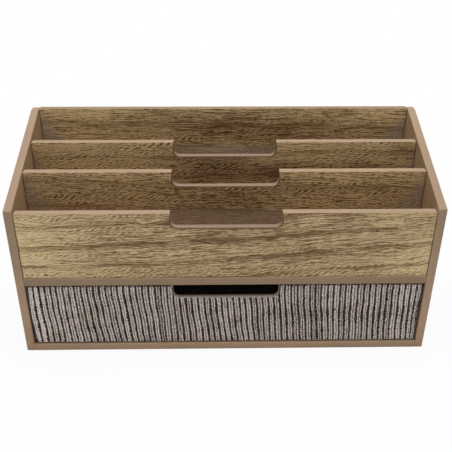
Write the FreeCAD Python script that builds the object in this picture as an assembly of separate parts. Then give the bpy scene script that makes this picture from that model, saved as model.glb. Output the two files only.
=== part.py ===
import FreeCAD, Part
import math
import os

# Envelope sorter with a drawer. Three upright letter compartments stand over one
# pull-out drawer. The case is glued and pinned from one board stock: two sloped
# side panels hold a bottom board, a shelf, a back, two dividers and a low front
# panel. The drawer is a small box behind a ridged facing.
#
# Millimetres. +X runs to the right, +Y to the back, +Z up. The origin is at the
# centre of the underside, so the front plane is at -case_depth / 2.

# --- Board stock and overall sizes ---
case_width = 320.0
case_depth = 112.5
board_thickness = 6.2
side_front_height = 125.5
side_back_height = 166.5
side_back_flat = 6.9
back_panel_rise = 0.5

# --- Letter compartments, measured front to back; the rear one takes what is left ---
front_panel_setback = 1.0
front_slot_depth = 29.8
middle_slot_depth = 26.8

# --- How far each board's top stays under the sides' slope at its front face ---
front_panel_drop = 2.9
middle_divider_drop = 0.1
rear_divider_drop = 1.6

# --- Finger notch, the same in every notched board ---
notch_width = 82.0
notch_depth = 12.1
notch_corner_radius = 5.0

# --- Drawer bay and the gaps around the drawer ---
bay_height = 55.8
drawer_front_setback = 0.6
front_side_gap = 0.8
front_bottom_gap = 0.8
front_top_gap = 1.0
box_side_gap = 1.3
box_running_gap = 0.3
box_top_gap = 5.0
box_rear_gap = 2.0

# --- Drawer boards ---
drawer_front_thickness = 3.2
facing_thickness = 3.0
drawer_wall_thickness = 5.0
drawer_bottom_thickness = 3.0

# --- Ridges of the facing ---
ridge_pitch = 4.6
groove_width = 1.1
groove_depth = 1.3

# --- Brads ---
brad_diameter = 1.2
brad_head_diameter = 2.0
brad_head_thickness = 0.6
case_brad_length = 20.0
drawer_brad_length = 14.0
brad_clearance = 0.02
brad_end_margin = 14.0
panel_brad_spacing = 110.0
drawer_brad_spacing = 110.0

# --- Places worked out from the sizes above ---
front_y = -case_depth / 2
back_y = case_depth / 2
inner_half_width = case_width / 2 - board_thickness
shelf_underside = board_thickness + bay_height
shelf_top = shelf_underside + board_thickness
back_panel_y = back_y - board_thickness
front_panel_y = front_y + front_panel_setback
middle_divider_y = front_panel_y + board_thickness + front_slot_depth
rear_divider_y = middle_divider_y + board_thickness + middle_slot_depth

slope_end_y = back_y - side_back_flat
slope_rise = (side_back_height - side_front_height) / (slope_end_y - front_y)

facing_y = front_y + drawer_front_setback
drawer_front_y = facing_y + facing_thickness
drawer_box_y = drawer_front_y + drawer_front_thickness
drawer_rear_y = back_panel_y - box_rear_gap
drawer_front_half_width = inner_half_width - front_side_gap
drawer_front_bottom = board_thickness + front_bottom_gap
drawer_front_top = shelf_underside - front_top_gap
drawer_box_half_width = inner_half_width - box_side_gap
drawer_box_bottom = board_thickness + box_running_gap
drawer_wall_bottom = drawer_box_bottom + drawer_bottom_thickness
drawer_wall_top = shelf_underside - box_top_gap

RIGHT = FreeCAD.Vector(1, 0, 0)
LEFT = FreeCAD.Vector(-1, 0, 0)
BACKWARD = FreeCAD.Vector(0, 1, 0)
FORWARD = FreeCAD.Vector(0, -1, 0)
UP = FreeCAD.Vector(0, 0, 1)


def slope_height(y):
    """Height of the side panels' sloped edge at a place y between front and back."""
    return side_front_height + slope_rise * (y - front_y)


def board(x_range, y_range, z_range):
    """A plain rectangular board between the given limits."""
    corner = FreeCAD.Vector(x_range[0], y_range[0], z_range[0])
    width = x_range[1] - x_range[0]
    depth = y_range[1] - y_range[0]
    height = z_range[1] - z_range[0]
    return Part.makeBox(width, depth, height, corner)


def finger_notch(y_range, top):
    """The cutter for a finger notch open at the top: square upper corners, round lower ones."""
    half = notch_width / 2
    radius = min(notch_corner_radius, notch_depth, half)
    bottom = top - notch_depth
    overshoot = board_thickness
    lean = radius * (1 - math.sqrt(0.5))
    y_start = y_range[0] - overshoot

    def at(x, z):
        return FreeCAD.Vector(x, y_start, z)

    edges = [
        Part.makeLine(at(-half, top + overshoot), at(-half, bottom + radius)),
        Part.Arc(
            at(-half, bottom + radius),
            at(-half + lean, bottom + lean),
            at(-half + radius, bottom),
        ).toShape(),
        Part.makeLine(at(-half + radius, bottom), at(half - radius, bottom)),
        Part.Arc(
            at(half - radius, bottom),
            at(half - lean, bottom + lean),
            at(half, bottom + radius),
        ).toShape(),
        Part.makeLine(at(half, bottom + radius), at(half, top + overshoot)),
        Part.makeLine(at(half, top + overshoot), at(-half, top + overshoot)),
    ]
    outline = Part.Face(Part.Wire(edges))
    return outline.extrude(BACKWARD * (y_range[1] - y_range[0] + 2 * overshoot))


def side_panel(outer_x):
    """A side panel: vertical front edge, sloped top, short level stretch at the back."""
    inner_x = outer_x - math.copysign(board_thickness, outer_x)
    corners = [
        FreeCAD.Vector(inner_x, front_y, 0),
        FreeCAD.Vector(inner_x, back_y, 0),
        FreeCAD.Vector(inner_x, back_y, side_back_height),
        FreeCAD.Vector(inner_x, slope_end_y, side_back_height),
        FreeCAD.Vector(inner_x, front_y, side_front_height),
    ]
    outline = Part.Face(Part.makePolygon(corners + corners[:1]))
    return outline.extrude(RIGHT * (outer_x - inner_x))


def upright(y, top, notched):
    """A board that stands on the shelf between the sides, its front face at y."""
    y_range = (y, y + board_thickness)
    panel = board((-inner_half_width, inner_half_width), y_range, (shelf_top, top))
    return panel.cut(finger_notch(y_range, top)) if notched else panel


def ridged_facing():
    """The drawer's facing: round-topped upright ridges with narrow flat grooves between them."""
    width = 2 * drawer_front_half_width
    count = max(1, round(width / ridge_pitch))
    pitch = width / count
    left = -drawer_front_half_width
    groove_y = facing_y + groove_depth
    shoulder_y = facing_y + 0.35 * groove_depth
    edges = []
    position = FreeCAD.Vector(left, groove_y, drawer_front_bottom)

    def line_to(x, y):
        nonlocal position
        target = FreeCAD.Vector(x, y, drawer_front_bottom)
        edges.append(Part.makeLine(position, target))
        position = target

    def crown_to(x, y):
        nonlocal position
        target = FreeCAD.Vector(x, y, drawer_front_bottom)
        crest = FreeCAD.Vector((position.x + x) / 2, facing_y, drawer_front_bottom)
        edges.append(Part.Arc(position, crest, target).toShape())
        position = target

    for index in range(count):
        ridge_start = left + index * pitch + groove_width / 2
        ridge_end = ridge_start + pitch - groove_width
        line_to(ridge_start, groove_y)
        line_to(ridge_start, shoulder_y)
        crown_to(ridge_end, shoulder_y)
        line_to(ridge_end, groove_y)
    line_to(drawer_front_half_width, groove_y)
    line_to(drawer_front_half_width, drawer_front_y)
    line_to(left, drawer_front_y)
    line_to(left, groove_y)
    section = Part.Face(Part.Wire(edges))
    slab = section.extrude(UP * (drawer_front_top - drawer_front_bottom))
    return slab.cut(finger_notch((facing_y, drawer_front_y), drawer_front_top))


def headed_pin(head, direction, length, clearance):
    """A brad whose head is flush at the point head and whose shank points along direction."""
    shank = Part.makeCylinder(brad_diameter / 2 + clearance, length + clearance, head, direction)
    cap_radius = brad_head_diameter / 2 + clearance
    cap = Part.makeCylinder(cap_radius, brad_head_thickness + clearance, head, direction)
    return shank.fuse(cap).removeSplitter()


def spread(middle, spacing, count):
    """Evenly spaced places about a middle."""
    return [middle + spacing * (index - (count - 1) / 2) for index in range(count)]


def between(low, high, count):
    """Evenly spaced places that keep the brad margin from both ends of a stretch."""
    start = low + brad_end_margin
    step = (high - low - 2 * brad_end_margin) / (count - 1)
    return [start + step * index for index in range(count)]


def side_brad_places(side):
    """Heads of the brads that go through one side panel, side being -1 on the left or 1."""
    x = side * case_width / 2
    half_board = board_thickness / 2
    places = []
    for z in (half_board, shelf_underside + half_board):
        places += [FreeCAD.Vector(x, y, z) for y in between(front_y, back_panel_y, 3)]
    for z in between(shelf_top, side_back_height, 3):
        places.append(FreeCAD.Vector(x, back_panel_y + half_board, z))
    for name, y in upright_places.items():
        for z in between(shelf_top, upright_tops[name] - notch_depth, 2):
            places.append(FreeCAD.Vector(x, y + half_board, z))
    return places


def back_brad_places():
    """Heads of the brads that go through the back panel into the shelf and the bottom board."""
    half_board = board_thickness / 2
    return [
        FreeCAD.Vector(x, back_y, z)
        for z in (half_board, shelf_underside + half_board)
        for x in spread(0, panel_brad_spacing, 3)
    ]


def shelf_brad_places():
    """Heads of the brads that go up through the shelf into the front panel and the dividers."""
    return [
        FreeCAD.Vector(x, y + board_thickness / 2, shelf_underside)
        for y in upright_places.values()
        for x in spread(0, panel_brad_spacing, 3)
    ]


def drawer_front_brad_places():
    """Heads of the brads that go through the drawer's inner front into its sides."""
    x = drawer_box_half_width - drawer_wall_thickness / 2
    heights = between(drawer_wall_bottom, drawer_wall_top, 2)
    return [FreeCAD.Vector(side * x, drawer_front_y, z) for side in (-1, 1) for z in heights]


def drawer_back_brad_places(side):
    """Heads of the brads that go through one drawer side into the drawer's back."""
    y = drawer_rear_y - drawer_wall_thickness / 2
    heights = between(drawer_wall_bottom, drawer_wall_top, 2)
    return [FreeCAD.Vector(side * drawer_box_half_width, y, z) for z in heights]


def drawer_bottom_brad_places():
    """Heads of the brads that go up through the drawer's bottom into its sides and back."""
    x = drawer_box_half_width - drawer_wall_thickness / 2
    depths = between(drawer_box_y, drawer_rear_y - drawer_wall_thickness, 2)
    places = [FreeCAD.Vector(side * x, y, drawer_box_bottom) for side in (-1, 1) for y in depths]
    y = drawer_rear_y - drawer_wall_thickness / 2
    places += [FreeCAD.Vector(x, y, drawer_box_bottom) for x in spread(0, drawer_brad_spacing, 3)]
    return places


upright_places = {
    "front_panel": front_panel_y,
    "middle_divider": middle_divider_y,
    "rear_divider": rear_divider_y,
}
upright_tops = {
    "front_panel": slope_height(front_panel_y) - front_panel_drop,
    "middle_divider": slope_height(middle_divider_y) - middle_divider_drop,
    "rear_divider": slope_height(rear_divider_y) - rear_divider_drop,
}
back_panel_top = side_back_height + back_panel_rise

inner_width = (-inner_half_width, inner_half_width)
drawer_front_width = (-drawer_front_half_width, drawer_front_half_width)
drawer_front_heights = (drawer_front_bottom, drawer_front_top)
drawer_wall_heights = (drawer_wall_bottom, drawer_wall_top)
drawer_wall_inner = drawer_box_half_width - drawer_wall_thickness

boards = {
    "left_side_panel": side_panel(-case_width / 2),
    "right_side_panel": side_panel(case_width / 2),
    "bottom_board": board(inner_width, (front_y, back_panel_y), (0, board_thickness)),
    "shelf_board": board(inner_width, (front_y, back_panel_y), (shelf_underside, shelf_top)),
    "back_panel": board(inner_width, (back_panel_y, back_y), (0, back_panel_top)),
    "drawer_front": board(drawer_front_width, (drawer_front_y, drawer_box_y), drawer_front_heights).cut(
        finger_notch((drawer_front_y, drawer_box_y), drawer_front_top)
    ),
    "drawer_left_side": board(
        (-drawer_box_half_width, -drawer_wall_inner), (drawer_box_y, drawer_rear_y), drawer_wall_heights
    ),
    "drawer_right_side": board(
        (drawer_wall_inner, drawer_box_half_width), (drawer_box_y, drawer_rear_y), drawer_wall_heights
    ),
    "drawer_back": board(
        (-drawer_wall_inner, drawer_wall_inner),
        (drawer_rear_y - drawer_wall_thickness, drawer_rear_y),
        drawer_wall_heights,
    ),
    "drawer_bottom": board(
        (-drawer_box_half_width, drawer_box_half_width),
        (drawer_box_y, drawer_rear_y),
        (drawer_box_bottom, drawer_wall_bottom),
    ),
}
for name, y in upright_places.items():
    boards[name] = upright(y, upright_tops[name], True)

# Each row of brads: the node, the heads' places, the way the shanks point and their length.
brad_rows = [
    ("left_side_brads", side_brad_places(-1), RIGHT, case_brad_length),
    ("right_side_brads", side_brad_places(1), LEFT, case_brad_length),
    ("back_panel_brads", back_brad_places(), FORWARD, case_brad_length),
    ("shelf_brads", shelf_brad_places(), UP, case_brad_length),
    ("drawer_front_brads", drawer_front_brad_places(), BACKWARD, drawer_brad_length),
    ("drawer_back_brads", drawer_back_brad_places(-1), RIGHT, drawer_brad_length),
    ("drawer_back_brads", drawer_back_brad_places(1), LEFT, drawer_brad_length),
    ("drawer_bottom_brads", drawer_bottom_brad_places(), UP, drawer_brad_length),
]

nodes = {}
brads = {}
holes = []
for node, places, direction, length in brad_rows:
    for place in places:
        brads.setdefault(node, []).append(headed_pin(place, direction, length, 0))
        holes.append(headed_pin(place, direction, length, brad_clearance))

for name, blank in boards.items():
    reached = [hole for hole in holes if hole.BoundBox.intersect(blank.BoundBox)]
    nodes[name] = blank.cut(reached) if reached else blank
for name, pins in brads.items():
    nodes[name] = Part.makeCompound(pins)
nodes["drawer_front_facing"] = ridged_facing()

os.makedirs("parts", exist_ok=True)
for name, shape in nodes.items():
    shape.exportStep(f"parts/{name}.step")
    print(f"{name}: {len(shape.Solids)} solids, {shape.Volume:.1f} mm3, valid {shape.isValid()}")
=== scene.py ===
"""Envelope sorter with drawer: its visual pieces, their finishes and a plain studio, laid out as an add-on.

Lengths are in metres. X runs to the right, Y to the back and Z up, with the origin under the case's middle.
"""

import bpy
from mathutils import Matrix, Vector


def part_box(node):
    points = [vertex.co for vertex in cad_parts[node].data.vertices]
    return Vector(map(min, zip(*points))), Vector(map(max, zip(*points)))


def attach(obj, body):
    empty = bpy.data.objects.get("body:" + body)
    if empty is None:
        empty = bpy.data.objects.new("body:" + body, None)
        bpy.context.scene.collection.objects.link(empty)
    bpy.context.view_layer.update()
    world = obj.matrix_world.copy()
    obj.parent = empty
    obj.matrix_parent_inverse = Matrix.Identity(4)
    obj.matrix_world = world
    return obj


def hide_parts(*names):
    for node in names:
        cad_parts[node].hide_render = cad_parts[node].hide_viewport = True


bl_info = {
    "name": "Envelope Sorter with Drawer",
    "version": (1, 0, 0),
    "blender": (4, 5, 0),
    "location": "View3D > Sidebar > Sorter",
    "description": "Builds the boards, the ridged drawer facing and the finishes of a desk envelope sorter",
    "category": "Object",
}

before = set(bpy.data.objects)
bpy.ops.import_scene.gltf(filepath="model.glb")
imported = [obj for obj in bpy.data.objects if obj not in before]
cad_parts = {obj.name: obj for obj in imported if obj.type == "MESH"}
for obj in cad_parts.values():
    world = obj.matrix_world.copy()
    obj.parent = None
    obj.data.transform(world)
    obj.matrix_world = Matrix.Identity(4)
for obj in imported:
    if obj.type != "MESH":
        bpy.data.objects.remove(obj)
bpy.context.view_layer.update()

from math import pi, radians

import bpy
import numpy as np
from bpy.props import FloatProperty, FloatVectorProperty, IntProperty, PointerProperty
from mathutils import Matrix, Vector

MM = 0.001
FLUSH = 0.04 * MM  # how far a board's faces are set back, so that the flush heads of the brads show
CORNER = 0.5 * MM  # radius of the sharp corners of a board's outline
SHOULDER = 0.55 * MM  # radius of the quarter round at each side of a ridge
HAIR = 1.8 * MM  # distance between the finest lines of the foil's print
ARC_RINGS = 4  # rings of points on the rubbed edge at each face of a board
NOTCH_STEPS = 6  # steps round each corner of a notched outline
ROUTED = (4 * (NOTCH_STEPS + 1), 6 * (NOTCH_STEPS + 1))  # its points on the two lower corners of the notch

# The camera stands in front, above the top of the case, and looks down at it.
CAMERA_PLACE = (-9.28 * MM, -461.24 * MM, 332.52 * MM)
CAMERA_TURN = radians(-1.264)
CAMERA_DIP = radians(28.431)
CAMERA_ROLL = radians(0.293)
CAMERA_LENS = 50.479  # millimetres, on a sensor 36 mm wide

# Settings that many nodes share. Map Range takes its value as 0, its old range as 1 and 2 and its new one
# as 3 and 4. Mix takes its factor as 0 and its two colours as 6 and 7.
SMOOTH = {"interpolation_type": "SMOOTHSTEP"}
MIX_COLOURS = {"data_type": "RGBA", "out": 2}


def linear(hex_code):
    """Turns an sRGB hex value such as "C9AE86" into linear red, green and blue."""
    srgb = np.array([int(hex_code[i : i + 2], 16) for i in (0, 2, 4)]) / 255
    return tuple(np.where(srgb <= 0.04045, srgb / 12.92, ((srgb + 0.055) / 1.055) ** 2.4))


def length(name, millimetres, description):
    """A length that a user can change."""
    return FloatProperty(name=name, description=description, default=millimetres * MM, unit="LENGTH")


def colour(name, hex_code, description):
    """A colour that a user can change."""
    default = linear(hex_code)
    return FloatVectorProperty(name=name, description=description, default=default, subtype="COLOR")


class SorterSizes(bpy.types.PropertyGroup):
    """Sizes of the visual pieces."""

    arris: length("Arris", 0.35, "Radius that sanding leaves on the long edges of a board")
    routed_arris: length("Routed arris", 0.8, "Radius of the rubbed edges of a finger notch")
    end_gap: length("End gap", 0.35, "Open joint between the end of an upright board and the side panel")
    side_front_height: length("Side height at the front", 125.5, "Height of a side panel at its front edge")
    side_back_flat: length("Level stretch at the back", 6.9, "Length of the level top of a side panel")
    notch_width: length("Notch width", 82, "Width of the finger notch in a board")
    notch_depth: length("Notch depth", 12.1, "Depth of the finger notch in a board")
    notch_corner: length("Notch corner", 5, "Radius of the two lower corners of a notch")
    ridge_pitch: length("Ridge pitch", 4.65, "Distance from one ridge of the drawer facing to the next")
    groove_width: length("Groove width", 1.3, "Width of the groove between two ridges, at its foot")
    groove_depth: length("Groove depth", 1.25, "Depth of the grooves of the drawer facing")
    ridge_lean: length("Ridge lean", 4.8, "How far the middle ridges wander sideways from top to bottom")
    ridge_rows: IntProperty(
        name="Rows along a ridge",
        description="Number of mesh rows along the lower part of the ridges",
        default=40,
        min=12,
    )


class SorterColours(bpy.types.PropertyGroup):
    """Colours of the finishes."""

    foil_pale: colour("Foil, pale grain", "E3C998", "Lightest tone of the printed oak foil")
    foil_dark: colour("Foil, dark grain", "6A471F", "Darkest tone of the printed oak foil")
    foil_growth: colour("Foil, growth lines", "845D36", "Warm brown of the foil's growth lines")
    # painted shade: the grey that the foil's print turns to low in the slots and in their corners, where
    # shade falls
    painted_shade: colour("Painted shade", "A69B92", "Grey painted shade low in the slots and in their corners")
    board_edge: colour("Sawn edge", "A99076", "Raw fibreboard where the saw cut it")
    # painted light: lighter and yellower than the sawn edge; the extra lightness is painted light bounced
    # up from the floor
    bounce_lit_edge: colour("Bounce-lit edge", "BB9D81", "Yellower edge of the sides and the bottom, lighter with painted bounce light")
    lining: colour("Drawer lining", "9C9793", "Plain grey inside of the drawer")
    board_face: colour("Board face", "B49775", "Pressed brown face of the fibreboard")
    ridge_rim: colour("Ridge rim", "FFEFED", "Brushed light rims of the facing's ridges")
    ridge_tinge: colour("Ridge tinge", "F4EAD9", "Yellower brush strokes among the light rims")
    ridge_heart: colour("Ridge heart", "4E3928", "Greyer middle of the facing's ridges")
    groove: colour("Groove", "2A1311", "Dark wash left in the facing's grooves")
    facing_edge: colour("Facing edge", "D9CEC4", "Pale grey paint on the edge of the facing's notch")
    routed_edge: colour("Routed edge", "937B68", "Browner fibreboard that the cutter rubbed, in notches")
    # a dark brown rim on the front of the board round the finger notches
    dark_rim: colour("Dark foil rim", "6B5340", "Dark edge of the foil round the finger notches")
    steel: colour("Steel", "B4B1AC", "Plated steel of the brad heads")


def rgba(tint):
    """A colour with an alpha of one."""
    return (*tint, 1.0)


# ---- materials ----


def put(tree, kind, inputs=None, out=0, **settings):
    """Adds one shader node and gives one of its outputs.

    The node gets its settings, and each named or numbered input gets a value or a link.
    """
    node = tree.nodes.new("ShaderNode" + kind)
    for name, value in settings.items():
        setattr(node, name, value)
    for key, value in (inputs or {}).items():
        if isinstance(value, bpy.types.NodeSocket):
            tree.links.new(value, node.inputs[key])
        else:
            node.inputs[key].default_value = value
    return node.outputs[out]


def start(name, roughness, specular=0.5, metallic=0.0):
    """A new material, its tree, its Principled shader and the socket of Object coordinates.

    The shader's constant values are set on its own sockets.
    """
    material = bpy.data.materials.new(name)
    material.use_nodes = True
    tree = material.node_tree
    shader = tree.nodes["Principled BSDF"]
    shader.inputs["Roughness"].default_value = roughness
    shader.inputs["Specular IOR Level"].default_value = specular
    shader.inputs["Metallic"].default_value = metallic
    return material, tree, shader, put(tree, "TexCoord", out="Object")


def weigh(tree, base, parts):
    """Adds up base and each part times its weight, and gives the sum's socket."""
    total = base
    for socket, weight in parts:
        total = put(tree, "Math", {0: socket, 1: weight, 2: total}, operation="MULTIPLY_ADD")
    return total


def pattern(tree, vector, cell, low=0.0, high=1.0, to_low=0.0, to_high=1.0, move=(0, 0, 0), detail=1.0):
    """A layer of a pattern.

    It is noise with cells of the given length, depth and height in millimetres. It runs smoothly from
    to_low to to_high while the noise runs from low to high. move is a step into other noise.
    """
    scaled = put(
        tree,
        "Mapping",
        {"Vector": vector, "Location": move, "Scale": [side * MM for side in cell]},
        vector_type="TEXTURE",
    )
    cloud = put(tree, "TexNoise", {"Vector": scaled, "Scale": 1.0, "Detail": detail})
    return put(tree, "MapRange", {0: cloud, 1: low, 2: high, 3: to_low, 4: to_high}, **SMOOTH)


def hair_lines(tree, grain, heights, shift):
    """Fine lines of print, from -0.5 to 0.5.

    They are half the sine of the weighed heights, one turn for each HAIR of height. The phase wanders by
    up to two turns over cells 24 mm long and 3.5 mm high.
    """
    wander = pattern(tree, grain, (24, 50, 3.5), move=(shift, 0.36, 0.58), detail=2.0)
    turns = [(socket, share * 2 * pi / HAIR) for socket, share in heights]
    phase = weigh(tree, 0.0, turns + [(wander, 4 * pi)])
    wave = put(tree, "Math", {0: phase}, operation="SINE")
    return weigh(tree, 0.0, [(wave, 0.5)])


def oak_foil(
    name, line, spacing, slope=0.0, bow=0.0, shift=0.0, level=0.0, growth_depth=0.42, long_share=1.0,
    short_share=1.0, patch_share=1.0, hair_share=1.0, crossed=0.5, low_strokes=0.0, ends=0.0, red=1.0,
    painted_shade=None, clouds=(), depthwise=False,
):
    """Printed oak paper foil: satin lacquer over grain that runs along the board.

    The eye sees growth lines, sharp above and fading downwards, long fine streaks, and short strokes that
    cross them. line is the height of one growth line at the board's middle, spacing the distance to the
    next and growth_depth how dark they are. slope and bow say how the grain rises and curves, and shift is
    a step into other grain. level is a change of tone. long_share, short_share, patch_share and hair_share
    are the strengths of long streaks, short ones, broad patches and the finest lines. crossed is the share
    of the board with crossing strokes, of which there are more below the height low_strokes. ends is how
    much paler the board's ends are, and red the share of red in its print. Below the height painted_shade,
    and in the corners above it, painted shade greys and dulls the print, as it looks where shade falls in
    the slots.
    clouds are soft spots: x, z, half length and half height in millimetres, and change of tone. depthwise
    is for grain that runs from front to back.
    """
    colours = bpy.context.scene.sorter_colours
    material, tree, shader, place = start(name, 0.5, 0.3)
    along, across, up = put(tree, "SeparateXYZ", {0: place}, out=slice(None))
    if depthwise:
        along, across = across, along
        place = put(tree, "CombineXYZ", {0: along, 1: across, 2: up})

    # the grain's own height: the board's, less the grain's rise, bent in swells 50 mm and waves 12 mm long
    steepness = weigh(tree, slope, [(along, bow)])
    rise = put(tree, "Math", {0: along, 1: steepness}, operation="MULTIPLY")
    swell = pattern(tree, place, (50, 50, 22), move=(shift, 0.31, 0.17), detail=2.0)
    wobble = pattern(tree, place, (12, 50, 4.2), move=(shift, 0.77, 0.41), detail=2.0)
    grain_up = weigh(tree, up, [(rise, -1.0), (swell, 5.0 * MM), (wobble, 1.2 * MM)])
    grain = put(tree, "CombineXYZ", {0: along, 2: grain_up})

    # growth lines: dark from a sharp upper edge down to two fifths of the spacing, and stronger in patches;
    # the swells and waves lift the grain by 3.1 mm on average
    down = weigh(tree, (line + 3.1 * MM) / spacing, [(grain_up, -1.0 / spacing)])
    share = put(tree, "Math", {0: down}, operation="FRACT")
    fade = put(tree, "MapRange", {0: share, 1: 0.02, 2: 0.4, 3: 1.0, 4: 0.0}, **SMOOTH)
    edge = put(tree, "MapRange", {0: share, 1: 0.0, 2: 0.025}, **SMOOTH)
    patchy = pattern(tree, grain, (33, 50, 3.8), 0.35, 0.6, 0.2, 1.0, move=(shift, 0.13, 0.92), detail=3.0)
    lines = put(tree, "Math", {0: fade, 1: edge}, operation="MULTIPLY")
    growth = put(tree, "Math", {0: lines, 1: patchy}, operation="MULTIPLY")

    # streaks, dashes, ticks and specks of the print, each with its length and height in millimetres; real
    # pores are 0.2 mm wide, too fine to show, so all are drawn about 0.8 mm high
    streaks, dashes, ticks, specks = (
        pattern(tree, grain, (long, 50, tall), 0.4, 0.6, -0.5, 0.5, move=(shift, *move))
        for long, tall, move in (
            (26, 0.85, (0.5, 0.2)),
            (9, 0.75, (0.8, 0.6)),
            (3.4, 0.8, (0.64, 0.04)),
            (1.3, 0.8, (0.22, 0.71)),
        )
    )
    patches = pattern(tree, grain, (90, 50, 18), move=(shift, 0.25, 0.33), detail=2.0)
    bands = pattern(tree, grain, (40, 50, 3.0), 0.3, 0.7, -0.5, 0.5, move=(shift, 0.6, 0.4))
    hairs = hair_lines(tree, grain, [(grain_up, 1.0)], shift)
    broken = pattern(tree, grain, (17, 50, 5), 0.3, 0.7, 0.35, 1.0, move=(shift, 0.53, 0.26))

    # crossing strokes, 20 degrees to the grain, in zones of their own, where the long lines are calmer
    strokes = hair_lines(tree, grain, [(grain_up, 0.94), (along, -0.34)], shift + 0.5)
    zones = pattern(tree, grain, (70, 50, 9), move=(shift, 0.44, 0.88))
    ceiling = low_strokes + 5 * MM
    low = put(tree, "MapRange", {0: up, 1: low_strokes, 2: ceiling, 3: 0.3, 4: 0.0}, **SMOOTH)
    crowded = {0: weigh(tree, low, [(zones, 1.0)]), 1: 0.62 - 0.2 * crossed, 2: 0.74 - 0.2 * crossed}
    zone = put(tree, "MapRange", crowded, **SMOOTH)
    calm = weigh(tree, 1.0, [(zone, -0.6)])
    streaks, dashes, hairs, strokes, outwards = (
        put(tree, "Math", {0: one, 1: other}, operation="MULTIPLY")
        for one, other in (
            (streaks, calm), (dashes, calm), (hairs, broken), (strokes, zone), (along, along)
        )
    )
    parts = [
        (patches, 0.42 * patch_share),
        (bands, 0.12),
        (streaks, 0.45 * long_share),
        (dashes, 0.42),
        (ticks, 0.26 * short_share),
        (specks, 0.14 * short_share),
        (hairs, 0.7 * hair_share),
        (growth, -growth_depth),
        (strokes, 0.6 * short_share),
        (outwards, ends / (0.15 * 0.15)),  # the ends' full change is reached 150 mm from the middle
    ]

    # soft spots: each fades from its middle to its outline
    spots = []
    for x, z, half_length, half_height, change in clouds:
        reach = (half_length * MM, 1.0, half_height * MM)
        centred = {"Vector": place, "Location": (x * MM, 0, z * MM), "Scale": reach}
        spot = put(tree, "Mapping", centred, vector_type="TEXTURE")
        distance = put(tree, "VectorMath", {0: spot}, out="Value", operation="LENGTH")
        inside = put(tree, "MapRange", {0: distance, 1: 0.0, 2: 1.0, 3: 1.0, 4: 0.0}, **SMOOTH)
        spots.append((inside, change))
    parts += [(inside, 0.4 * change) for inside, change in spots]
    tone = weigh(tree, 0.37 + level, parts)

    shade_share = None
    if painted_shade is not None:
        # painted shade low down in the slots and towards the ends, up to a line that rises four for every
        # three
        # outwards: there, where shade falls, the tone goes half-way to the middle tone
        slant, middle_tone = 0.75, 0.42
        outer = put(tree, "Math", {0: along}, operation="ABSOLUTE")
        start_at, full_at = 122 * MM - slant * painted_shade, 142 * MM - slant * painted_shade
        past = weigh(tree, outer, [(up, -slant)])
        corner = put(tree, "MapRange", {0: past, 1: start_at, 2: full_at}, **SMOOTH)
        under = {0: up, 1: painted_shade - 5 * MM, 2: painted_shade + 5 * MM, 3: 1.0, 4: 0.0}
        floor = put(tree, "MapRange", under, **SMOOTH)
        shade_share = put(tree, "Math", {0: corner, 1: floor}, operation="MAXIMUM")
        off = weigh(tree, -middle_tone, [(tone, 1.0)])
        kept = weigh(tree, 1.0, [(shade_share, -0.5)])
        off = put(tree, "Math", {0: off, 1: kept}, operation="MULTIPLY")
        tone = weigh(tree, middle_tone, [(off, 1.0)])

    # the tone's colour runs from dark to pale, and the growth lines and the painted shade bring their own
    tint = np.array((red, 1.0, 1.0 / red))
    dark, pale = np.array(colours.foil_dark) * tint, np.array(colours.foil_pale) * tint
    body = put(tree, "ValToRGB", {0: tone})
    stops = body.node.color_ramp.elements
    stops[0].color = rgba(dark)
    stops[1].color = rgba(pale)
    for position, share_pale in ((0.3, 0.22), (0.6, 0.54)):
        stops.new(position).color = rgba(dark + (pale - dark) * share_pale)
    for layer, own in ((growth, colours.foil_growth), (shade_share, colours.painted_shade)):
        if layer is not None:
            factor = weigh(tree, 0.0, [(layer, 0.5)])
            body = put(tree, "Mix", {0: factor, 6: body, 7: rgba(own)}, **MIX_COLOURS)
    if clouds:
        # a dark spot takes less from red than from green and blue, so it is a warmer brown
        spot = weigh(tree, 0.0, spots)
        changes = enumerate((0.44, 0.49, 0.51))
        shares = {index: weigh(tree, 1.0, [(spot, change)]) for index, change in changes}
        light = put(tree, "CombineXYZ", shares)
        body = put(tree, "VectorMath", {0: body, 1: light}, operation="MULTIPLY")
    tree.links.new(body, shader.inputs["Base Color"])
    relief = put(tree, "Bump", {"Height": tone, "Distance": 0.1 * MM})
    tree.links.new(relief, shader.inputs["Normal"])
    return material


def fibreboard(name, tint, fleck=0.16, roughness=0.85, above=None):
    """Medium-density fibreboard: an even brown felt of fibres, matt, with flecks and soft cloudy patches.

    fleck is how strong the flecks are. above is a colour that the board turns to between the heights 60
    and 120 mm. The same felt, under a coat of its own colour, serves as lining paper and painted edges.
    """
    material, tree, shader, place = start(name, roughness, 0.25)
    # real fibres are about 0.1 mm; they are drawn 0.8 mm long so that they show
    flecks = pattern(tree, place, (0.8, 0.8, 0.8), detail=2.0)
    patches = pattern(tree, place, (24, 24, 24), detail=2.0)
    patch = 0.16
    tone = weigh(tree, 1.0 - fleck / 2 - patch / 2, [(flecks, fleck), (patches, patch)])
    shade = put(tree, "CombineXYZ", {0: tone, 1: tone, 2: tone})
    felt = rgba(tint)
    if above is not None:
        up = put(tree, "SeparateXYZ", {0: place}, out=2)
        higher = put(tree, "MapRange", {0: up, 1: 60 * MM, 2: 120 * MM}, **SMOOTH)
        felt = put(tree, "Mix", {0: higher, 6: felt, 7: rgba(above)}, **MIX_COLOURS)
    body = put(tree, "Mix", {0: 1.0, 6: felt, 7: shade}, blend_type="MULTIPLY", **MIX_COLOURS)
    tree.links.new(body, shader.inputs["Base Color"])
    relief = put(tree, "Bump", {"Height": flecks, "Distance": 0.08 * MM})
    tree.links.new(relief, shader.inputs["Normal"])
    return material


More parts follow.
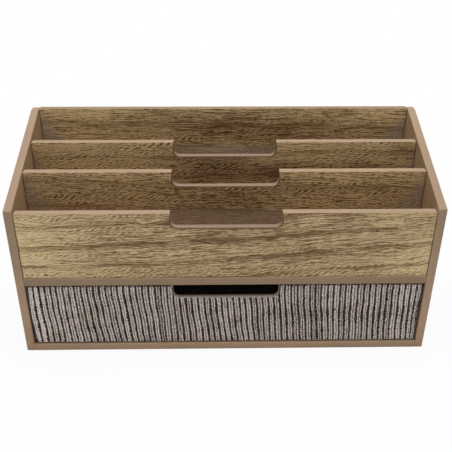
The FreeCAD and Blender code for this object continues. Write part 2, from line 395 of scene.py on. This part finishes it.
def ridged_paint(name):
    """Moulded facing painted dark, then dry-brushed light over the ridges.

    The eye sees pale rims, a greyer streaked heart on each ridge, and near-black grooves.
    """
    colours = bpy.context.scene.sorter_colours
    material, tree, shader, place = start(name, 0.7, 0.3)
    crest, across, shade = (
        put(tree, "Attribute", out="Fac", attribute_name=values)
        for values in ("crest", "across", "shade")
    )
    # brush lines 0.6 mm wide and 9 mm long, grit and chips of paint about 1 mm across, and soft patches
    # where wash is left or the brush was yellower
    brushed = pattern(tree, place, (0.6, 50, 9), detail=2.0)
    grit = pattern(tree, place, (0.85, 50, 0.95), 0.38, 0.62, -0.5, 0.5, move=(0.3, 0.1, 0.2))
    chips = pattern(tree, place, (1.1, 50, 1.0), 0.38, 0.62, -0.5, 0.5, move=(0.5, 0.4, 0.1))
    wash = pattern(tree, place, (11, 50, 15), 0.5, 0.75, move=(0.2, 0.6, 0.3))
    warm = pattern(tree, place, (5, 50, 26), 0.3, 0.7, move=(0.7, 0.2, 0.9))
    rim = put(tree, "MapRange", {0: across, 1: 0.04, 2: 0.52}, **SMOOTH)
    paint = weigh(tree, -0.25, [(rim, 1.0), (brushed, 0.5), (grit, 0.9), (shade, 0.35), (wash, -0.12)])
    covered = weigh(tree, 0.13, [(crest, 1.0), (chips, 0.85), (wash, -0.12)])
    covered = put(tree, "MapRange", {0: covered, 1: 0.4, 2: 0.9}, **SMOOTH)
    body = rgba(colours.ridge_rim)
    body = put(tree, "Mix", {0: warm, 6: body, 7: rgba(colours.ridge_tinge)}, **MIX_COLOURS)
    body = put(tree, "Mix", {0: paint, 6: rgba(colours.ridge_heart), 7: body}, **MIX_COLOURS)
    body = put(tree, "Mix", {0: covered, 6: rgba(colours.groove), 7: body}, **MIX_COLOURS)
    tree.links.new(body, shader.inputs["Base Color"])
    relief = put(tree, "Bump", {"Height": grit, "Distance": 0.12 * MM})
    tree.links.new(relief, shader.inputs["Normal"])
    return material


def brad_steel(name):
    """Bright wire brads: drawn steel, flat heads with a soft shine and faint cloudy wear."""
    material, tree, shader, place = start(name, 0.38, metallic=1.0)
    shader.inputs["Base Color"].default_value = rgba(bpy.context.scene.sorter_colours.steel)
    worn = pattern(tree, place, (0.6, 0.6, 0.6), 0.0, 1.0, 0.26, 0.5, detail=2.0)
    tree.links.new(worn, shader.inputs["Roughness"])
    relief = put(tree, "Bump", {"Height": worn, "Distance": 0.02 * MM})
    tree.links.new(relief, shader.inputs["Normal"])
    return material


def backdrop_paper(name):
    """White backdrop paper, matt, with a tooth too fine to show.

    Seen directly it is lifted towards white, more so away from the object, but keeps the shadow.
    """
    material, tree, shader, place = start(name, 0.9, 0.2)
    shader.inputs["Base Color"].default_value = rgba(linear("F4F4F4"))
    camera_ray = put(tree, "LightPath", out="Is Camera Ray")
    glow = put(tree, "Emission", {"Color": (1, 1, 1, 1), "Strength": 1.0})
    away = put(tree, "VectorMath", {0: place}, out="Value", operation="LENGTH")
    lift = put(tree, "MapRange", {0: away, 1: 0.12, 2: 0.4, 3: 0.91, 4: 1.0}, **SMOOTH)
    seen = put(tree, "Math", {0: camera_ray, 1: lift}, operation="MULTIPLY")
    both = put(tree, "MixShader", {0: seen, 1: shader.outputs[0], 2: glow})
    tree.links.new(both, tree.nodes["Material Output"].inputs["Surface"])
    return material


# ---- surfaces ----


def unit(vectors):
    """Each row of vectors, made one long."""
    return vectors / np.linalg.norm(vectors, axis=1, keepdims=True)


def eased_outline(corners, radii, steps=2):
    """A closed outline whose corners are arcs.

    Each corner's arc touches both edges: it starts at radius / tan(half the corner's angle) along one edge,
    its centre lies on the corner's bisector at radius / sin(half the angle), and its points swing evenly
    from one touching point to the other.
    """
    corners = np.asarray(corners, float)
    radii = np.asarray(radii, float)[:, None]
    back = unit(np.roll(corners, 1, 0) - corners)
    ahead = unit(np.roll(corners, -1, 0) - corners)
    half = np.arccos(np.clip((back * ahead).sum(1, keepdims=True), -1, 1)) / 2
    bisector = unit(back + ahead)
    centre = corners + bisector * radii / np.sin(half)
    first = corners + back * radii / np.tan(half) - centre
    last = corners + ahead * radii / np.tan(half) - centre
    swing = pi - 2 * half
    share = np.linspace(0, 1, steps + 1)[None, :, None]
    swing, first, last = swing[:, None], first[:, None], last[:, None]
    turned = np.sin((1 - share) * swing) * first + np.sin(share * swing) * last
    return (centre[:, None] + turned / np.sin(swing)).reshape(-1, 2)


def board_surface(outline, along, up, front, thickness, arris):
    """A board: its outline carried through its thickness, drawn in at both faces by a quarter round.

    The first parameter runs round the outline and the second through the thickness. A point is the
    outline's point, moved in along the bisector of its two edges by the ring's inset, and set back from the
    front face by the ring's depth. front is a point on the front face's plane. The arris, the radius of the
    quarter round, is given per point of the outline. Gives the points, the rings of faces, and the two
    faces that close it.
    """
    edge = unit(np.roll(outline, -1, 0) - outline)
    inward = np.stack([-edge[:, 1], edge[:, 0]], 1)
    before = np.roll(inward, 1, 0)
    bisector = (inward + before) / (1 + (inward * before).sum(1, keepdims=True))
    angle = np.linspace(0, pi / 2, ARC_RINGS)[:, None]
    inset = arris * (1 - np.sin(angle))
    depth = arris * (1 - np.cos(angle))
    inset = np.concatenate([inset, inset[::-1]])
    depth = np.concatenate([depth, thickness - depth[::-1]])
    flat = outline[None] + bisector[None] * inset[..., None]
    outwards = np.cross(along, up)
    points = np.asarray(front) + flat[..., :1] * along + flat[..., 1:] * up - depth[..., None] * outwards
    rings, count = points.shape[:2]
    index = np.arange(rings * count).reshape(rings, count)
    ahead = np.roll(index, -1, 1)
    sides = np.stack([index[:-1], index[1:], ahead[1:], ahead[:-1]], -1).reshape(-1, 4)
    return points.reshape(-1, 3), sides, index[0], index[-1][::-1]


def add_object(name, points, faces, materials, finish, body, slot, node, smooth):
    """Makes the mesh and the object, and places the piece on its body in the place of its CAD node.

    finish is the number of each face's material, and smooth says which faces are shaded smooth.
    """
    mesh = bpy.data.meshes.new(name)
    mesh.from_pydata(points, [], faces)
    for material in materials:
        mesh.materials.append(material)
    mesh.polygons.foreach_set("material_index", np.asarray(finish, np.int32))
    mesh.polygons.foreach_set("use_smooth", np.asarray(smooth, bool))
    mesh.update()
    piece = bpy.data.objects.new(name, mesh)
    bpy.context.scene.collection.objects.link(piece)
    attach(piece, body)
    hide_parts(node)
    return piece


X, Y, Z = np.eye(3)
# the directions in which an outline runs along and up on a board that faces that way
FACINGS = {"front": (X, Z), "left": (-Y, Z), "right": (Y, Z), "top": (X, Y)}


def add_board(name, node, body, slot, faces_to, outline, finishes, routed=None):
    """A board in the place of a CAD node.

    The outline is given in the board's plane. finishes are those of its front, edge and back, and then of
    the edge and the front rim of its routed stretch, which is the outline's points from the first to the
    second number in routed.
    """
    low, high = (np.array(corner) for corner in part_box(node))
    along, up = FACINGS[faces_to]
    outwards = np.cross(along, up)
    axis = int(np.argmax(np.abs(outwards)))
    face = (high[axis] if outwards[axis] > 0 else low[axis]) - outwards[axis] * FLUSH
    thickness = high[axis] - low[axis] - 2 * FLUSH
    sizes = bpy.context.scene.sorter_sizes
    arris = np.full(len(outline), sizes.arris)
    finish = np.ones((2 * ARC_RINGS - 1, len(outline)), int)
    finish[0] = 0  # the front's rim has the front's finish, as foil is pressed over it
    if routed:
        # the stretch's faces take in the straight walls on both sides of its points
        first, last = routed
        arris[first:last] = sizes.routed_arris
        finish[:, first - 1 : last] = 3
        finish[: ARC_RINGS - 1, first - 1 : last] = 4
    front = np.abs(outwards) * face
    points, sides, nearer, farther = board_surface(outline, along, up, front, thickness, arris)
    faces = sides.tolist() + [nearer.tolist(), farther.tolist()]
    finish = finish.ravel().tolist() + [0, 2]
    smooth = [True] * len(sides) + [False, False]
    return add_object(name, points.tolist(), faces, finishes, finish, body, slot, node, smooth)


def plain_outline(node, faces_to, short=0.0):
    """A rectangle over a CAD node, as seen along its thickness, short by that much at both ends."""
    low, high = (np.array(corner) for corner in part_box(node))
    along, up = FACINGS[faces_to]
    left, right = sorted((low @ along, high @ along))
    bottom, top = sorted((low @ up, high @ up))
    left, right = left + short, right - short
    return eased_outline([(left, bottom), (right, bottom), (right, top), (left, top)], [CORNER] * 4)


def notched_outline(node, short=0.0):
    """A rectangle over a CAD node seen from the front, with the finger notch cut from its top.

    It is short by that much at both ends. The notch is sharp where it starts and round in its two lower
    corners.
    """
    sizes = bpy.context.scene.sorter_sizes
    low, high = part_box(node)
    left, right, bottom, top = low[0] + short, high[0] - short, low[2], high[2]
    half, floor = sizes.notch_width / 2, top - sizes.notch_depth
    corners = [(left, bottom), (right, bottom), (right, top), (half, top)]
    corners += [(half, floor), (-half, floor), (-half, top), (left, top)]
    radii = [CORNER] * 4 + [sizes.notch_corner] * 2 + [CORNER] * 2
    return eased_outline(corners, radii, NOTCH_STEPS)


# ---- boards ----


class SORTER_OT_side_panels(bpy.types.Operator):
    """Builds the two side panels with their sloping tops"""

    bl_idname = "sorter.side_panels"
    bl_label = "Side Panels"

    def execute(self, context):
        sizes, colours = context.scene.sorter_sizes, context.scene.sorter_colours
        # painted light: the sides' edges are lighter and yellower low down, the lightness painted light
        # bounced from the floor, and turn to the plain sawn edge between 60 and 120 mm up
        edge = fibreboard("fibreboard sawn edge, side", colours.bounce_lit_edge, above=colours.board_edge)
        face = fibreboard("fibreboard pressed face", colours.board_face, 0.1, 0.7)
        print_on_sides = dict(line=0.09, spacing=0.023, slope=0.05, growth_depth=0.28, depthwise=True)
        for side, shift, turn in (("left", 0.4, -1), ("right", 1.1, 1)):
            node = side + "_side_panel"
            low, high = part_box(node)
            foil = oak_foil(f"oak foil, {side} side", shift=shift, **print_on_sides)
            profile = [
                (low.y, low.z),
                (high.y, low.z),
                (high.y, high.z),
                (high.y - sizes.side_back_flat, high.z),
                (low.y, sizes.side_front_height),
            ]
            # the outline runs the same way round on both, as each is seen from its own side
            profile = (np.array(profile) * (turn, 1))[::turn]
            outline = eased_outline(profile, [CORNER] * 5)
            finishes = [foil, edge, face]
            add_board(side + "_side_board", node, "case", "side_laminate", side, outline, finishes)
        return {"FINISHED"}


class SORTER_OT_level_boards(bpy.types.Operator):
    """Builds the bottom board and the shelf over the drawer"""

    bl_idname = "sorter.level_boards"
    bl_label = "Bottom and Shelf"

    def execute(self, context):
        colours = context.scene.sorter_colours
        face = fibreboard("fibreboard pressed face, level boards", colours.board_face, 0.1, 0.7)
        # painted shade: the shelf's edge is a darker copy of the sawn edge
        shaded = [0.92 * value for value in colours.board_edge]  # the shelf's edge is a little darker
        # painted light: the bottom board's edge takes the lighter, yellower bounce-lit edge, its extra
        # lightness painted light from the floor
        for name, tint in (("bottom", colours.bounce_lit_edge), ("shelf", shaded)):
            edge = fibreboard(f"fibreboard sawn edge, {name}", tint)
            node = name + "_board"
            outline, finishes = plain_outline(node, "top"), [face, edge, face]
            add_board(name + "_level_board", node, "case", "oak_laminate", "top", outline, finishes)
        return {"FINISHED"}


# how the foil's print lies on the fronts of the upright boards, in the words of oak_foil; below the height
# painted_shade the print is greyed with painted shade
PRINTS = {
    "front_panel": dict(
        line=0.1032, spacing=0.0165, slope=0.06, bow=0.1, level=-0.01, short_share=1.05, crossed=0.1,
        low_strokes=0.074, ends=0.24,
        clouds=[
            (-10, 106, 45, 14, -0.17), (150, 82, 45, 20, 0.4), (-158, 98, 70, 45, 0.44),
            (88, 114, 28, 12, -0.26), (54, 86, 24, 9, -0.16),
        ],
    ),
    "middle_divider": dict(
        line=0.131, spacing=0.021, slope=-0.03, shift=1.3, level=0.27, growth_depth=0.06, long_share=0.8,
        short_share=1.9, patch_share=0.4, hair_share=1.2, crossed=0.6, red=1.05, painted_shade=0.108,
        clouds=[(0, 124, 84, 31, -0.76), (-150, 140, 50, 14, 0.15)],
    ),
    "rear_divider": dict(
        line=0.142, spacing=0.018, slope=0.02, shift=2.9, level=0.56, growth_depth=0.14, long_share=1.4,
        short_share=2.6, hair_share=1.5, crossed=0.8, red=1.05, painted_shade=0.112,
        clouds=[
            (-6, 129, 72, 46, -1.14), (54, 125, 46, 14, -1.3), (112, 125, 52, 14, -1.3),
            (146, 143, 26, 14, -0.6), (-146, 136, 30, 18, -0.25),
        ],
    ),
    "back_panel": dict(
        line=0.155, spacing=0.02, slope=-0.02, shift=3.7, level=0.08, growth_depth=0.2, long_share=1.2,
        short_share=1.4, crossed=-0.1, red=1.05, painted_shade=0.134,
        clouds=[
            (-4, 151, 72, 19, -0.72), (62, 142, 48, 18, -0.5), (-125, 158, 85, 28, 0.5),
            (130, 160, 45, 18, 0.42), (0, 131, 60, 8, 0.4),
        ],
    ),
}
# and on the outer face of the back panel
REAR_PRINT = dict(
    line=0.08, spacing=0.026, slope=0.03, bow=0.35, shift=2.1, growth_depth=0.26,
    clouds=[
        (-85, 112, 75, 22, -0.4), (70, 58, 95, 26, -0.35), (35, 140, 70, 24, 0.2),
        (-110, 34, 70, 24, 0.2),
    ],
)


class SORTER_OT_upright_panels(bpy.types.Operator):
    """Builds the front panel, the two dividers and the back panel"""

    bl_idname = "sorter.upright_panels"
    bl_label = "Upright Panels"

    def execute(self, context):
        sizes, colours = context.scene.sorter_sizes, context.scene.sorter_colours
        edge = fibreboard("fibreboard sawn edge, uprights", colours.board_edge)
        face = fibreboard("fibreboard pressed face, uprights", colours.board_face, 0.1, 0.7)
        routed = fibreboard("fibreboard routed edge, uprights", colours.routed_edge)
        # a dark brown rim on the front round each finger notch
        dark_rim = fibreboard("dark foil rim round the notch", colours.dark_rim)
        rear = oak_foil("oak foil, rear", **REAR_PRINT)
        # painted shade: the back panel's edge is a darker copy of the sawn edge
        shaded = [0.8 * value for value in colours.board_edge]  # the back panel's edge is darker
        shaded_rear_edge = fibreboard("fibreboard sawn edge with painted shade, back panel", shaded)
        for node, looks in PRINTS.items():
            foil = oak_foil("oak foil, " + node.replace("_", " "), **looks)
            if node == "back_panel":
                outline, stretch = plain_outline(node, "front", sizes.end_gap), None
                finishes = [foil, shaded_rear_edge, rear]
            else:
                outline, stretch = notched_outline(node, sizes.end_gap), ROUTED
                finishes = [foil, edge, face, routed, dark_rim]
            add_board(node + "_board", node, "case", "oak_laminate", "front", outline, finishes, stretch)
        return {"FINISHED"}


class SORTER_OT_drawer_box(bpy.types.Operator):
    """Builds the drawer's sides, back, bottom and inner front"""

    bl_idname = "sorter.drawer_box"
    bl_label = "Drawer Box"

    def execute(self, context):
        colours = context.scene.sorter_colours
        edge = fibreboard("fibreboard sawn edge, drawer", colours.board_edge)
        face = fibreboard("grey lining paper, drawer", colours.lining, 0.06, 0.7)
        routed = fibreboard("pale painted edge, drawer", colours.facing_edge, 0.2)
        walls = dict(left_side="left", right_side="right", back="front", bottom="top", front="front")
        for part, faces_to in walls.items():
            node = "drawer_" + part
            outline, stretch, finishes = plain_outline(node, faces_to), None, [face, edge, face]
            if part == "front":
                outline, stretch = notched_outline(node), ROUTED
                finishes += [routed, routed]
            add_board(node + "_board", node, "drawer", "drawer_board", faces_to, outline, finishes, stretch)
        return {"FINISHED"}


# ---- drawer facing ----

SETBACK = 0.05 * MM  # least depth of the ridges behind the front of the CAD facing
SKIN = 0.8 * MM  # least thickness under a groove
SLIMMING = 0.28 * MM  # how much narrower a ridge gets here and there
WEDGE = 0.35  # height of the wedge beside the outermost ridge, as a share of a ridge's

# Bell curves along the facing, each with its middle and width in millimetres and its height: where the
# brush left it lighter or darker, and, in millimetres, where the ridges wander less.
SHADES = (
    (-155, 20, 1.7), (-75, 8, 0.6), (-50, 8, -0.7), (42, 6, 0.5),
    (57, 6, -0.8), (99, 9, -0.45), (116, 7, 0.45), (143, 10, 0.5),
)
HOLLOWS = ((-45, 14, 2.0), (31, 8, 1.4))


def bells(x, curves):
    """A sum of bell curves at x: height times e to the minus square of the distance over the width."""
    return sum(height * np.exp(-(((x / MM - middle) / width) ** 2)) for middle, width, height in curves)


def ridge_columns(low, high, half, sizes, chance):
    """Columns of the facing's mesh, from left to right, as arrays with one value per column.

    The width left of the notch, under it and right of it is shared out among whole ridges, each up to 9 %
    wider or narrower than the rest. On a ridge the columns stand at its two grooves' middles, at the
    grooves' feet, on the shoulders and along the crest. "place" is a column's x, "reach" its distance from
    its ridge's middle line, "outline" half the width of its ridge between the feet, "on" 1 on a ridge and
    less on the wedges beside the outermost ones, and "rise", "shade" and "bite" are its ridge's own height,
    tone and raggedness. The tone adds the soft stretches of SHADES to what falls to each ridge by chance.
    """
    borders = [np.array([low])]
    for first, last in ((low, -half), (-half, half), (half, high)):
        count = round((last - first) / sizes.ridge_pitch)
        shares = 1 + chance.uniform(-0.09, 0.09, count)
        borders.append(first + (last - first) * np.cumsum(shares) / shares.sum())
    borders = np.concatenate(borders)
    width = np.diff(borders)[:, None]
    ridges = len(width)
    foot = width / 2 - sizes.groove_width * chance.uniform(0.75, 1.3, (ridges, 1)) / 2
    shoulder = foot - SHOULDER * np.array([0.0, 0.12, 0.45, 1.0])
    reach = np.concatenate([width / 2, foot + 0.1 * MM, shoulder, foot * [0.35, 0.0]], 1)
    offset = np.concatenate([-reach, reach[:, -2:0:-1]], 1)
    middle = (borders[:-1] + borders[1:])[:, None] / 2
    wedge = np.array([0.0, 0.28, 0.5, 0.72])
    ends = len(wedge)
    number = np.append(np.repeat(np.arange(ridges), offset.shape[1]), ridges - 1)
    number = np.pad(number, ends, mode="edge")
    rise = 0.02 * MM + 0.16 * MM * chance.random(ridges)
    shade = chance.uniform(-0.5, 0.5, ridges) + bells(middle[:, 0], SHADES)
    bite = 0.35 * MM * chance.random(ridges)
    return {
        "place": np.concatenate([[low] * ends, (middle + offset).ravel(), [high] * (ends + 1)]),
        "reach": np.pad(np.append(np.abs(offset).ravel(), width[-1] / 2), ends, mode="edge"),
        "on": np.concatenate([wedge, np.ones(offset.size + 1), wedge[::-1]]),
        "outline": foot[number, 0],
        "rise": rise[number],
        "shade": shade[number],
        "bite": bite[number],
    }


def lean_of(x, low, high, lean):
    """How far a ridge at x wanders to the right from the notch's walls down to the bottom.

    It is the full lean on a plateau, less the two hollows at the left end of the notch and near its right
    end. It rises to the plateau in an S-shape, from under half of it: over 33 mm from 22 mm inside the
    facing's left end, and over 25 mm from 60 mm inside its right end.
    """
    from_left = np.clip((x - low - 22 * MM) / (33 * MM), 0, 1)
    from_right = np.clip((high - x - 60 * MM) / (25 * MM), 0, 1)
    left_rise, right_rise = (share * share * (3 - 2 * share) for share in (from_left, from_right))
    plateau = (0.42 + 0.58 * left_rise) * (0.48 + 0.52 * right_rise)
    return lean * plateau - bells(x, HOLLOWS) * MM


def facing_points(columns, z, tops, wall, low, high, sizes):
    """Points of the ridged front over rows of heights z, with the crest and across values of the paint.

    A column goes right by its lean times the share of the way from the notch's walls to the bottom, to the
    power 1.1, and sways by two sines, one 38 mm and one 23 mm long; near both ends it gives way to the dark
    wedges. It stands out by a quarter circle of its distance inside the ridge's outline, less a shallow dip
    along the middle and a ripple 7 mm long. The outline is slimmer here and there, most of all half-way up
    towards the right, round at the top and ragged at the bottom. tops are the heights at which the columns'
    ridges end, and wall is that of the foot of the notch's walls.
    """
    x, on, reach = (columns[name][None] for name in ("place", "on", "reach"))

    def wave(tall, wide):
        """A sine that goes round once in the height tall and once in the width wide, in millimetres."""
        return np.sin(2 * pi * (z / (tall * MM) + x / (wide * MM)))

    drop = np.clip((wall - z) / (wall - low[2]), 0, 1)
    height = (z - low[2]) / (high[2] - low[2])
    sway = 0.22 * MM * wave(38, 110) + 0.1 * MM * wave(23, -63)
    aside = lean_of(x, low[0], high[0], sizes.ridge_lean) * drop**1.1 + sway * np.minimum(drop * 4, 1)
    aside = aside * (1 - np.exp(-(((high[0] - np.abs(x)) / (6 * MM)) ** 2)))
    upper, lower = np.clip((height - 0.55) / 0.45, 0, 1), np.clip((0.5 - height) / 0.5, 0, 1)
    left_wedge = (0.15 + 1.3 * upper**1.4 + 2.1 * lower**1.3) * MM * np.exp((low[0] - x) / (5 * MM))
    belly = np.sin(pi * np.clip((height - 0.05) / 0.9, 0, 1)) ** 2
    right_wedge = (0.8 + 1.2 * belly) * MM * np.exp((x - high[0]) / (5 * MM))
    aside = aside + left_wedge * on - right_wedge * on

    waist = np.exp(-(((z - 33 * MM) / (9 * MM)) ** 2)) * np.clip(x / (40 * MM) - 0.4, 0, 1)
    narrower = SLIMMING * (np.clip(wave(41, 83) * wave(27, -31), 0, 1) + 1.2 * waist)
    outline = columns["outline"][None] - narrower
    inside = outline - np.hypot(reach, np.maximum(outline - (tops - z), 0))
    inside = np.minimum(inside, (z - low[2] - columns["bite"][None]) * 0.8)
    crest = np.sqrt(1 - (1 - np.clip(inside / SHOULDER, 0, 1)) ** 2)
    crest = np.where(on < 1, WEDGE * np.clip(1 - np.abs(on - 0.5) * 5, 0, 1), crest)
    across = np.clip(reach / outline, 0, 1)
    dip = 0.1 * MM * (1 - np.clip(reach / outline / 0.6, 0, 1) ** 2) * (crest > 0.9)
    ripple = 0.05 * MM * wave(7.1, 4.3) * crest
    y = low[1] + SETBACK + columns["rise"][None] + ripple + dip + sizes.groove_depth * (1 - crest)
    y = np.clip(y, low[1], high[1] - SKIN)
    return np.stack(np.broadcast_arrays(x + aside, y, z), -1), crest, across


def strip(lower, upper):
    """Quads between two rows of points; seen from outside, the first runs to the right below the second."""
    return np.stack([lower[:-1], lower[1:], upper[1:], upper[:-1]], -1)


class SORTER_OT_drawer_facing(bpy.types.Operator):
    """Builds the ridged facing of the drawer with its finger notch"""

    bl_idname = "sorter.drawer_facing"
    bl_label = "Drawer Facing"

    def execute(self, context):
        sizes, colours = context.scene.sorter_sizes, context.scene.sorter_colours
        low, high = (np.array(corner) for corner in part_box("drawer_front_facing"))
        half, corner = sizes.notch_width / 2, sizes.notch_corner
        columns = ridge_columns(low[0], high[0], half, sizes, np.random.default_rng(11))
        across = columns["place"]
        slack = 1e-7
        in_notch = np.abs(across) < half - slack
        left, right = np.flatnonzero(across <= -half + slack), np.flatnonzero(across >= half - slack)

        # rows: the lower stretch reaches up to the notch's outline or, beside it, to the foot of its
        # straight walls; they lie closer together near both ends of a ridge
        wall = high[2] - sizes.notch_depth + corner
        round_part = np.clip(np.abs(across) - (half - corner), 0, corner)
        ceiling = np.where(in_notch, wall - np.sqrt(corner**2 - round_part**2), wall)
        ease = np.array([0.0, 0.25, 0.55, 0.9, 1.3, 1.75, 2.3]) * MM
        tall, short = wall - low[2], high[2] - wall
        even = np.linspace(ease[-1], tall - ease[-1], sizes.ridge_rows)
        rows = np.r_[ease[:-1], even, tall - ease[-2::-1]] / tall
        upper_rows = wall + np.r_[np.linspace(0, short - ease[-1], 6)[:-1], short - ease[::-1]]
        lower_z = low[2] + (ceiling - low[2]) * rows[:, None]
        tops = np.where(in_notch, ceiling + 1.2 * MM, high[2])

        # the ridged front: one sheet below and one on each side of the notch, which start on the lower
        # sheet's last row
        sheets, points, paint = [], [], []
        for block, z in (
            (np.arange(len(across)), lower_z),
            (left, np.repeat(upper_rows[:, None], len(left), 1)),
            (right, np.repeat(upper_rows[:, None], len(right), 1)),
        ):
            part = {name: values[block] for name, values in columns.items()}
            spots, *values = facing_points(part, z, tops[block], wall, low, high, sizes)
            values.append(np.broadcast_to(part["shade"], z.shape))
            keep = slice(1, None) if sheets else slice(None)
            index = sum(map(len, points)) + np.arange(z[keep].size).reshape(-1, len(block))
            sheets.append(np.concatenate([sheets[0][-1:, block], index]) if sheets else index)
            points.append(spots[keep].reshape(-1, 3))
            paint.append(np.stack([value[keep].ravel() for value in values]))
        points = np.concatenate(points)
        below, beside_left, beside_right = sheets

        # the back: the sheets' lowest and highest rows again, on the plane that rests on the drawer's front
        edges = [below[0], below[-1], beside_left[-1], beside_right[-1]]
        behind = points[np.concatenate(edges)]
        behind[:, 1] = high[1]
        numbers = len(points) + np.arange(len(behind))
        breaks = np.cumsum([len(row) for row in edges])[:-1]
        back_foot, back_wall, back_left, back_right = np.split(numbers, breaks)
        under = np.arange(left[-1], right[0] + 1)
        front = [strip(lower, upper) for sheet in sheets for lower, upper in zip(sheet, sheet[1:])]
        notch_floor = [strip(below[-1][under], back_wall[under])]
        rest = [
            strip(back_wall, back_foot),
            strip(back_left, back_wall[left]),
            strip(back_right, back_wall[right]),
            strip(back_foot, below[0]),
            strip(beside_left[-1], back_left),
            strip(beside_right[-1], back_right),
        ]
        left_wall = np.r_[back_wall[left[-1]], beside_left[:, -1], back_left[-1]][::-1]
        right_wall = np.r_[back_wall[right[0]], beside_right[:, 0], back_right[0]]
        left_end = np.r_[back_foot[0], below[:, 0], beside_left[1:, 0], back_left[0], back_wall[0]]
        right_end = np.r_[back_foot[-1], below[:, -1], beside_right[1:, -1], back_right[-1], back_wall[-1]]
        faces, finish = [], []
        for number, group in enumerate((front, notch_floor, rest)):
            quads = np.concatenate(group).tolist()
            faces += quads
            finish += [number] * len(quads)
        faces += [polygon.tolist() for polygon in (left_wall, right_wall, left_end, right_end[::-1])]
        finish = np.array(finish + [1, 1, 2, 2])
        finishes = [
            ridged_paint("dry-brushed ridged facing"),
            fibreboard("pale painted edge of the facing", colours.facing_edge, 0.3),
            # the dark groove paint on the facing's ends, top, bottom and back is the facing's base coat,
            # and also painted shade in the narrow gaps round the drawer front
            fibreboard("dark painted edge of the facing", colours.groove, 0.3),
        ]
        shape = np.concatenate([points, behind]).tolist()
        where = ("drawer", "striped_facing", "drawer_front_facing")
        piece = add_object("drawer_ridged_facing", shape, faces, finishes, finish, *where, finish == 0)
        paint = np.concatenate([*paint, np.zeros((3, len(behind)))], 1).astype(np.float32)
        for name, values in zip(("crest", "across", "shade"), paint):
            piece.data.attributes.new(name, "FLOAT", "POINT").data.foreach_set("value", values)
        return {"FINISHED"}


# ---- brads and stage ----


class SORTER_OT_brads(bpy.types.Operator):
    """Gives every row of brads its steel"""

    bl_idname = "sorter.brads"
    bl_label = "Brads"

    def execute(self, context):
        steel = brad_steel("drawn steel brads")
        for name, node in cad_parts.items():
            if name.endswith("_brads"):
                node.data.materials.clear()
                node.data.materials.append(steel)
        return {"FINISHED"}


class SORTER_OT_stage(bpy.types.Operator):
    """Sets the camera, the floor, the lamp and the surroundings"""

    bl_idname = "sorter.stage"
    bl_label = "Stage"

    def execute(self, context):
        scene = context.scene
        camera = bpy.data.objects.new("camera", bpy.data.cameras.new("camera"))
        camera.data.sensor_width = 36.0
        camera.data.lens = CAMERA_LENS
        turn = (
            Matrix.Rotation(CAMERA_TURN, 4, "Z")
            @ Matrix.Rotation(pi / 2 - CAMERA_DIP, 4, "X")
            @ Matrix.Rotation(CAMERA_ROLL, 4, "Z")
        )
        camera.matrix_world = Matrix.Translation(CAMERA_PLACE) @ turn
        scene.collection.objects.link(camera)
        scene.camera = camera

        # a square sheet of paper, just clear of the underside
        reach, level = 2.5, -0.2 * MM
        sheet = bpy.data.meshes.new("floor")
        corners = [(x * reach, y * reach, level) for x, y in ((-1, -1), (1, -1), (1, 1), (-1, 1))]
        sheet.from_pydata(corners, [], [(0, 1, 2, 3)])
        sheet.materials.append(backdrop_paper("white backdrop paper"))
        floor = bpy.data.objects.new("floor", sheet)
        scene.collection.objects.link(floor)

        # one square softbox overhead, aimed at the case
        softbox = bpy.data.lights.new("overhead softbox", "AREA")
        softbox.shape = "SQUARE"
        softbox.size = 1.0
        softbox.energy = 19.0
        lamp = bpy.data.objects.new("overhead softbox", softbox)
        lamp.location = (0.0, -0.05, 1.35)
        aim = Vector((0.0, 0.0, 0.08)) - lamp.location
        lamp.rotation_euler = aim.to_track_quat("-Z", "Y").to_euler()
        scene.collection.objects.link(lamp)

        # white surroundings to look at and to mirror, which light the object only a little
        world = bpy.data.worlds.new("studio")
        scene.world = world
        world.use_nodes = True
        tree = world.node_tree
        tree.nodes.clear()
        rays = tree.nodes.new("ShaderNodeLightPath").outputs
        mirrored = [(rays["Is Glossy Ray"], 1.0), (rays["Is Transmission Ray"], 1.0)]
        seen = weigh(tree, rays["Is Camera Ray"], mirrored)
        fill, white = (
            put(tree, "Background", {"Color": (1, 1, 1, 1), "Strength": strength})
            for strength in (0.14, 1.0)
        )
        both = put(tree, "MixShader", {0: seen, 1: fill, 2: white})
        tree.links.new(both, tree.nodes.new("ShaderNodeOutputWorld").inputs["Surface"])

        scene.view_settings.view_transform = "Standard"
        return {"FINISHED"}


PIECES = (
    SORTER_OT_stage,
    SORTER_OT_side_panels,
    SORTER_OT_level_boards,
    SORTER_OT_upright_panels,
    SORTER_OT_drawer_box,
    SORTER_OT_drawer_facing,
    SORTER_OT_brads,
)


class VIEW3D_PT_sorter(bpy.types.Panel):
    """Lists the sorter's pieces, its sizes and its colours"""

    bl_idname = "VIEW3D_PT_sorter"
    bl_label = "Envelope Sorter"
    bl_space_type = "VIEW_3D"
    bl_region_type = "UI"
    bl_category = "Sorter"

    def draw(self, context):
        for piece in PIECES:
            self.layout.operator(piece.bl_idname)
        for group in (context.scene.sorter_sizes, context.scene.sorter_colours):
            for name in group.__annotations__:
                self.layout.prop(group, name)


CLASSES = (SorterSizes, SorterColours, *PIECES, VIEW3D_PT_sorter)


def register():
    for cls in CLASSES:
        bpy.utils.register_class(cls)
    bpy.types.Scene.sorter_sizes = PointerProperty(type=SorterSizes)
    bpy.types.Scene.sorter_colours = PointerProperty(type=SorterColours)


def unregister():
    del bpy.types.Scene.sorter_colours
    del bpy.types.Scene.sorter_sizes
    for cls in reversed(CLASSES):
        bpy.utils.unregister_class(cls)


def main():
    register()
    for piece in PIECES:
        area, name = piece.bl_idname.split(".")
        getattr(getattr(bpy.ops, area), name)()


if __name__ == "__main__":
    main()
